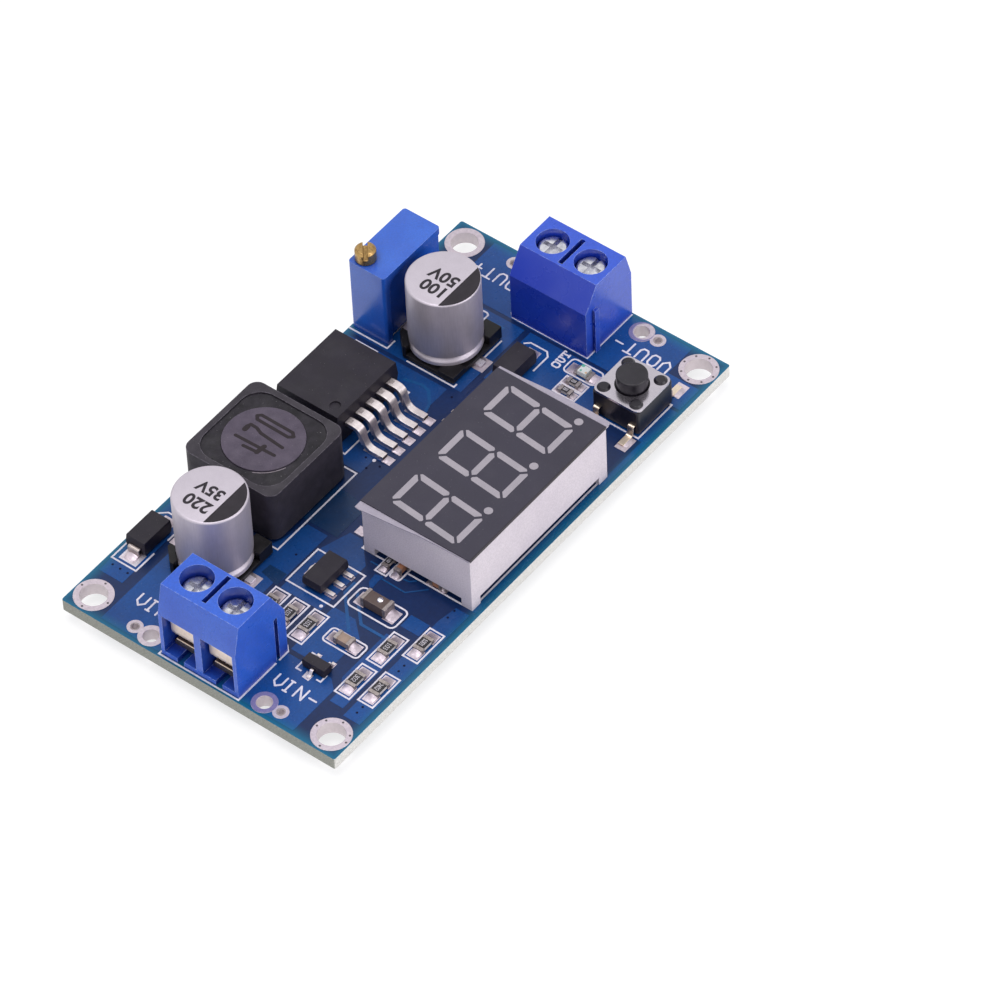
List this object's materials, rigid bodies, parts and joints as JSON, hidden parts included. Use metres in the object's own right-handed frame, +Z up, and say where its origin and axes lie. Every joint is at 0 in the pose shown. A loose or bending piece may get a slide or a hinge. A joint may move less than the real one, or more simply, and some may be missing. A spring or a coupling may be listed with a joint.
{
  "type": "boost converter module",
  "caption": "Step-up DC converter board with screw terminals at both ends, digit display voltmeter, multi-turn trimmer, push switch, shielded inductor and electrolytic capacitors.",
  "frame": {"origin": "centre of the mounting hole pattern on the board's underside", "axes": "+X along the board from the input terminal to the output terminal, +Y towards the inductor side, +Z up out of the component side"},
  "size_m": [0.066, 0.0356, 0.0146],
  "materials": {
    "board_mask": "glossy blue solder mask over copper",
    "tinned_copper": "tinned copper",
    "solder": "bright solder",
    "terminal_plastic": "blue moulded plastic",
    "tinned_strip": "tinned pressed strip",
    "zinc_screw": "bright zinc plating",
    "trimmer_plastic": "lighter blue moulded plastic",
    "brass_screw": "turned brass",
    "tinned_lead": "matt tin",
    "can_aluminium": "satin aluminium",
    "base_plastic": "black moulded plastic",
    "ferrite_shield": "dark grey ferrite",
    "ferrite_core": "grey ground ferrite",
    "copper_wire": "enamelled copper wire",
    "potting_black": "black sealing compound",
    "mould_black": "charcoal moulding compound",
    "ceramic_white": "white ceramic",
    "resistor_coat": "black glaze",
    "ceramic_brown": "brown ceramic",
    "lamp_lens": "milky resin",
    "switch_plastic": "black moulded plastic",
    "switch_steel": "pressed steel",
    "display_shell": "pale grey moulded plastic",
    "display_face": "dark grey printed face",
    "display_segment": "pale diffusing resin",
    "display_compound": "pale sealing compound"
  },
  "bodies": {
    "board": {"circuit_board": "board_mask", "mounting_hole_rings": "tinned_copper", "plated_holes": "tinned_copper", "surface_pads": "tinned_copper", "solder_joints": "solder", "input_terminal_housing": "terminal_plastic", "input_terminal_contacts": "tinned_strip", "output_terminal_housing": "terminal_plastic", "output_terminal_contacts": "tinned_strip", "trimmer_body": "trimmer_plastic", "trimmer_pins": "tinned_lead", "input_capacitor_can": "can_aluminium", "input_capacitor_base": "base_plastic", "output_capacitor_can": "can_aluminium", "output_capacitor_base": "base_plastic", "capacitor_leads": "tinned_lead", "inductor_shield": "ferrite_shield", "inductor_core": "ferrite_core", "inductor_winding": "copper_wire", "inductor_potting": "potting_black", "inductor_terminals": "tinned_lead", "converter_body": "mould_black", "converter_leads": "tinned_lead", "converter_tab": "tinned_lead", "input_diode_body": "mould_black", "output_diode_body": "mould_black", "diode_leads": "tinned_lead", "meter_regulator_body": "mould_black", "meter_regulator_leads": "tinned_lead", "meter_transistor_body": "mould_black", "meter_transistor_leads": "tinned_lead", "meter_controller_body": "mould_black", "meter_controller_leads": "tinned_lead", "resistor_bodies": "ceramic_white", "resistor_coats": "resistor_coat", "ceramic_capacitor_bodies": "ceramic_brown", "chip_end_caps": "tinned_lead", "indicator_lamp_base": "ceramic_white", "indicator_lamp_lens": "lamp_lens", "switch_base": "switch_plastic", "switch_cover": "switch_steel", "switch_dome": "switch_steel", "switch_terminals": "tinned_lead", "display_housing": "display_shell", "display_face": "display_face", "display_segments": "display_segment", "display_potting": "display_compound", "display_pins": "tinned_lead"},
    "input_positive_clamp": {"input_positive_clamp": "tinned_strip"},
    "input_positive_screw": {"input_positive_screw": "zinc_screw"},
    "input_negative_clamp": {"input_negative_clamp": "tinned_strip"},
    "input_negative_screw": {"input_negative_screw": "zinc_screw"},
    "output_positive_clamp": {"output_positive_clamp": "tinned_strip"},
    "output_positive_screw": {"output_positive_screw": "zinc_screw"},
    "output_negative_clamp": {"output_negative_clamp": "tinned_strip"},
    "output_negative_screw": {"output_negative_screw": "zinc_screw"},
    "trimmer_adjuster": {"trimmer_screw": "brass_screw"},
    "plunger": {"switch_plunger": "switch_plastic"}
  },
  "joints": [
    {"name": "plunger_press", "type": "slide", "parent": "board", "child": "plunger", "axis": [0, 0, -1], "range_m": [0, 0.00025], "stiffness_N_per_m": 4000, "deforming": ["switch_dome"]},
    {"name": "trimmer_turn", "type": "hinge", "parent": "board", "child": "trimmer_adjuster", "pos_m": [0.01545, 0.01625, 0.0115], "axis": [0, 0, -1], "continuous": true},
    {"name": "input_positive_clamp_lift", "type": "slide", "parent": "board", "child": "input_positive_clamp", "axis": [0, 0, -1], "range_m": [-0.0006, 0.0012]},
    {"name": "input_positive_screw_turn", "type": "hinge", "parent": "input_positive_clamp", "child": "input_positive_screw", "pos_m": [-0.02895, 0.0024, 0.0101], "axis": [0, 0, -1], "range_deg": [-433, 865]},
    {"name": "input_negative_clamp_lift", "type": "slide", "parent": "board", "child": "input_negative_clamp", "axis": [0, 0, -1], "range_m": [-0.0006, 0.0012]},
    {"name": "input_negative_screw_turn", "type": "hinge", "parent": "input_negative_clamp", "child": "input_negative_screw", "pos_m": [-0.02895, -0.0026, 0.0101], "axis": [0, 0, -1], "range_deg": [-433, 865]},
    {"name": "output_positive_clamp_lift", "type": "slide", "parent": "board", "child": "output_positive_clamp", "axis": [0, 0, -1], "range_m": [-0.0006, 0.0012]},
    {"name": "output_positive_screw_turn", "type": "hinge", "parent": "output_positive_clamp", "child": "output_positive_screw", "pos_m": [0.0293, 0.0024, 0.0101], "axis": [0, 0, -1], "range_deg": [-433, 865]},
    {"name": "output_negative_clamp_lift", "type": "slide", "parent": "board", "child": "output_negative_clamp", "axis": [0, 0, -1], "range_m": [-0.0006, 0.0012]},
    {"name": "output_negative_screw_turn", "type": "hinge", "parent": "output_negative_clamp", "child": "output_negative_screw", "pos_m": [0.0293, -0.0026, 0.0101], "axis": [0, 0, -1], "range_deg": [-433, 865]}
  ],
  "couplings": [
    {"joint": "input_positive_screw_turn", "follows": "input_positive_clamp_lift", "rad_per_m": 12566},
    {"joint": "input_negative_screw_turn", "follows": "input_negative_clamp_lift", "rad_per_m": 12566},
    {"joint": "output_positive_screw_turn", "follows": "output_positive_clamp_lift", "rad_per_m": 12566},
    {"joint": "output_negative_screw_turn", "follows": "output_negative_clamp_lift", "rad_per_m": 12566}
  ]
}
